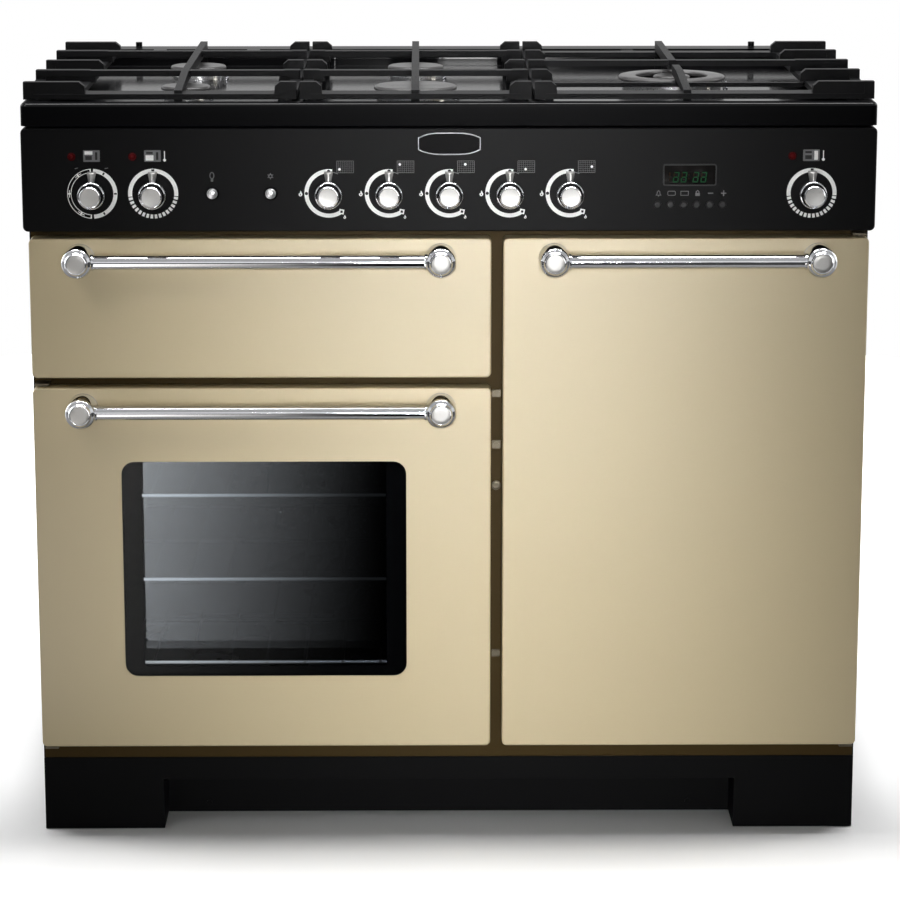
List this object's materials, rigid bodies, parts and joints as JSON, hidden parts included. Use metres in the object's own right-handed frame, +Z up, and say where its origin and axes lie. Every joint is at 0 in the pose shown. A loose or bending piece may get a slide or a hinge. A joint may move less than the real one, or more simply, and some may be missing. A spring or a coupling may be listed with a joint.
{
  "type": "range cooker",
  "caption": "Free-standing range cooker with a gas hob, a drop-down grill door, a glazed side-hinged oven door and a tall side-hinged oven door.",
  "frame": {"origin": "on the floor, below the middle of the width and of the depth over the handles", "axes": "+X to the right seen from the front, +Y to the back, +Z up"},
  "size_m": [0.996, 0.646, 0.919],
  "materials": {
    "cream_enamel": "satin stove enamel",
    "black_enamel": "gloss vitreous enamel",
    "panel_black": "satin black enamel",
    "zinc_sheet": "zinc-coated sheet",
    "liner_enamel": "easy-clean grey enamel",
    "burner_alloy": "cast, fine blasted",
    "cap_enamel": "matt grey-black enamel",
    "dial_white": "silver-white dial",
    "lamp_red": "clear red lens, unlit",
    "plate_chrome": "chromed rim with a bare black field",
    "black_plastic": "moulded black",
    "brass_pipe": "drawn tube and taps",
    "shelf_chrome": "plated wire",
    "element_steel": "heat-darkened sheath",
    "seal_rubber": "door seal",
    "handle_chrome": "polished",
    "door_glass": "tinted, black printed border",
    "knob_chrome": "polished and satin turned",
    "cast_iron": "matt enamelled casting"
  },
  "bodies": {
    "casing": {"side_panels": "black_enamel", "front_frame": "black_enamel", "hotplate": "black_enamel", "vent_trim": "black_enamel", "plinth": "black_enamel", "control_panel": "panel_black", "back_panel": "zinc_sheet", "base_pan": "zinc_sheet", "door_fittings": "zinc_sheet", "feet": "zinc_sheet", "grill_liner": "liner_enamel", "left_oven_liner": "liner_enamel", "right_oven_liner": "liner_enamel", "fan_housings": "liner_enamel", "burner_heads": "burner_alloy", "burner_caps": "cap_enamel", "dial_rings": "dial_white", "indicator_lamps": "lamp_red", "name_plate": "plate_chrome", "control_electrics": "black_plastic", "gas_rail": "brass_pipe", "shelf_racks": "shelf_chrome", "heating_elements": "element_steel", "door_seals": "seal_rubber"},
    "grill_door_body": {"grill_door": "cream_enamel", "grill_door_handle": "handle_chrome"},
    "left_door_body": {"left_door": "cream_enamel", "left_door_glass": "door_glass", "left_door_inner": "black_enamel", "left_door_handle": "handle_chrome"},
    "right_door_body": {"right_door": "cream_enamel", "right_door_inner": "black_enamel", "right_door_handle": "handle_chrome"},
    "grill_knob_body": {"grill_knob": "knob_chrome"},
    "left_oven_knob_body": {"left_oven_knob": "knob_chrome"},
    "right_oven_knob_body": {"right_oven_knob": "knob_chrome"},
    "hob_knob_1_body": {"hob_knob_1": "knob_chrome"},
    "hob_knob_2_body": {"hob_knob_2": "knob_chrome"},
    "hob_knob_3_body": {"hob_knob_3": "knob_chrome"},
    "hob_knob_4_body": {"hob_knob_4": "knob_chrome"},
    "hob_knob_5_body": {"hob_knob_5": "knob_chrome"},
    "light_button_body": {"light_button": "knob_chrome"},
    "spark_button_body": {"spark_button": "knob_chrome"},
    "clock_button_1_body": {"clock_button_1": "black_plastic"},
    "clock_button_2_body": {"clock_button_2": "black_plastic"},
    "clock_button_3_body": {"clock_button_3": "black_plastic"},
    "clock_button_4_body": {"clock_button_4": "black_plastic"},
    "clock_button_5_body": {"clock_button_5": "black_plastic"},
    "clock_button_6_body": {"clock_button_6": "black_plastic"},
    "left_pan_support_body": {"left_pan_support": "cast_iron"},
    "centre_pan_support_body": {"centre_pan_support": "cast_iron"},
    "right_pan_support_body": {"right_pan_support": "cast_iron"},
    "left_shelf_1_body": {"left_shelf_1": "shelf_chrome"},
    "left_shelf_2_body": {"left_shelf_2": "shelf_chrome"},
    "left_shelf_3_body": {"left_shelf_3": "shelf_chrome"},
    "right_shelf_1_body": {"right_shelf_1": "shelf_chrome"},
    "right_shelf_2_body": {"right_shelf_2": "shelf_chrome"},
    "grill_pan_body": {"grill_pan": "liner_enamel"},
    "left_fan_body": {"left_fan": "zinc_sheet"},
    "right_fan_body": {"right_fan": "zinc_sheet"}
  },
  "joints": [
    {"name": "grill_door_hinge", "type": "hinge", "parent": "casing", "child": "grill_door_body", "pos_m": [-0.2, -0.265, 0.578], "axis": [1, 0, 0], "range_deg": [0, 90]},
    {"name": "left_door_hinge", "type": "hinge", "parent": "casing", "child": "left_door_body", "pos_m": [-0.483, -0.261, 0.3365], "axis": [0, 0, -1], "range_deg": [0, 100]},
    {"name": "right_door_hinge", "type": "hinge", "parent": "casing", "child": "right_door_body", "pos_m": [0.483, -0.261, 0.426], "axis": [0, 0, 1], "range_deg": [0, 100]},
    {"name": "grill_knob_turn", "type": "hinge", "parent": "casing", "child": "grill_knob_body", "pos_m": [-0.4159, -0.3, 0.7913], "axis": [0, 1, 0], "range_deg": [-160, 160]},
    {"name": "left_oven_knob_turn", "type": "hinge", "parent": "casing", "child": "left_oven_knob_body", "pos_m": [-0.3451, -0.3, 0.7913], "axis": [0, 1, 0], "range_deg": [0, 250]},
    {"name": "right_oven_knob_turn", "type": "hinge", "parent": "casing", "child": "right_oven_knob_body", "pos_m": [0.4228, -0.3, 0.7913], "axis": [0, 1, 0], "range_deg": [0, 250]},
    {"name": "hob_knob_1_turn", "type": "hinge", "parent": "casing", "child": "hob_knob_1_body", "pos_m": [-0.1406, -0.3, 0.7913], "axis": [0, -1, 0], "range_deg": [0, 210]},
    {"name": "hob_knob_2_turn", "type": "hinge", "parent": "casing", "child": "hob_knob_2_body", "pos_m": [-0.0703, -0.3, 0.7913], "axis": [0, -1, 0], "range_deg": [0, 210]},
    {"name": "hob_knob_3_turn", "type": "hinge", "parent": "casing", "child": "hob_knob_3_body", "pos_m": [0, -0.3, 0.7913], "axis": [0, -1, 0], "range_deg": [0, 210]},
    {"name": "hob_knob_4_turn", "type": "hinge", "parent": "casing", "child": "hob_knob_4_body", "pos_m": [0.0703, -0.3, 0.7913], "axis": [0, -1, 0], "range_deg": [0, 210]},
    {"name": "hob_knob_5_turn", "type": "hinge", "parent": "casing", "child": "hob_knob_5_body", "pos_m": [0.1406, -0.3, 0.7913], "axis": [0, -1, 0], "range_deg": [0, 210]},
    {"name": "light_button_press", "type": "slide", "parent": "casing", "child": "light_button_body", "axis": [0, 1, 0], "range_m": [0, 0.003], "stiffness_N_per_m": 300, "springref_m": -0.002},
    {"name": "spark_button_press", "type": "slide", "parent": "casing", "child": "spark_button_body", "axis": [0, 1, 0], "range_m": [0, 0.003], "stiffness_N_per_m": 300, "springref_m": -0.002},
    {"name": "clock_button_1_press", "type": "slide", "parent": "casing", "child": "clock_button_1_body", "axis": [0, 1, 0], "range_m": [0, 0.0015], "stiffness_N_per_m": 300, "springref_m": -0.001},
    {"name": "clock_button_2_press", "type": "slide", "parent": "casing", "child": "clock_button_2_body", "axis": [0, 1, 0], "range_m": [0, 0.0015], "stiffness_N_per_m": 300, "springref_m": -0.001},
    {"name": "clock_button_3_press", "type": "slide", "parent": "casing", "child": "clock_button_3_body", "axis": [0, 1, 0], "range_m": [0, 0.0015], "stiffness_N_per_m": 300, "springref_m": -0.001},
    {"name": "clock_button_4_press", "type": "slide", "parent": "casing", "child": "clock_button_4_body", "axis": [0, 1, 0], "range_m": [0, 0.0015], "stiffness_N_per_m": 300, "springref_m": -0.001},
    {"name": "clock_button_5_press", "type": "slide", "parent": "casing", "child": "clock_button_5_body", "axis": [0, 1, 0], "range_m": [0, 0.0015], "stiffness_N_per_m": 300, "springref_m": -0.001},
    {"name": "clock_button_6_press", "type": "slide", "parent": "casing", "child": "clock_button_6_body", "axis": [0, 1, 0], "range_m": [0, 0.0015], "stiffness_N_per_m": 300, "springref_m": -0.001},
    {"name": "left_pan_support_lift", "type": "slide", "parent": "casing", "child": "left_pan_support_body", "axis": [0, 0, 1], "range_m": [0, 0.06]},
    {"name": "centre_pan_support_lift", "type": "slide", "parent": "casing", "child": "centre_pan_support_body", "axis": [0, 0, 1], "range_m": [0, 0.06]},
    {"name": "right_pan_support_lift", "type": "slide", "parent": "casing", "child": "right_pan_support_body", "axis": [0, 0, 1], "range_m": [0, 0.06]},
    {"name": "left_shelf_1_pull", "type": "slide", "parent": "casing", "child": "left_shelf_1_body", "axis": [0, -1, 0], "range_m": [0, 0.018]},
    {"name": "left_shelf_2_pull", "type": "slide", "parent": "casing", "child": "left_shelf_2_body", "axis": [0, -1, 0], "range_m": [0, 0.018]},
    {"name": "left_shelf_3_pull", "type": "slide", "parent": "casing", "child": "left_shelf_3_body", "axis": [0, -1, 0], "range_m": [0, 0.018]},
    {"name": "right_shelf_1_pull", "type": "slide", "parent": "casing", "child": "right_shelf_1_body", "axis": [0, -1, 0], "range_m": [0, 0.018]},
    {"name": "right_shelf_2_pull", "type": "slide", "parent": "casing", "child": "right_shelf_2_body", "axis": [0, -1, 0], "range_m": [0, 0.018]},
    {"name": "grill_pan_pull", "type": "slide", "parent": "casing", "child": "grill_pan_body", "axis": [0, -1, 0], "range_m": [0, 0.018]},
    {"name": "left_fan_spin", "type": "hinge", "parent": "casing", "child": "left_fan_body", "pos_m": [-0.22175, 0.194, 0.3365], "axis": [0, 1, 0], "continuous": true},
    {"name": "right_fan_spin", "type": "hinge", "parent": "casing", "child": "right_fan_body", "pos_m": [0.27825, 0.194, 0.426], "axis": [0, 1, 0], "continuous": true}
  ]
}
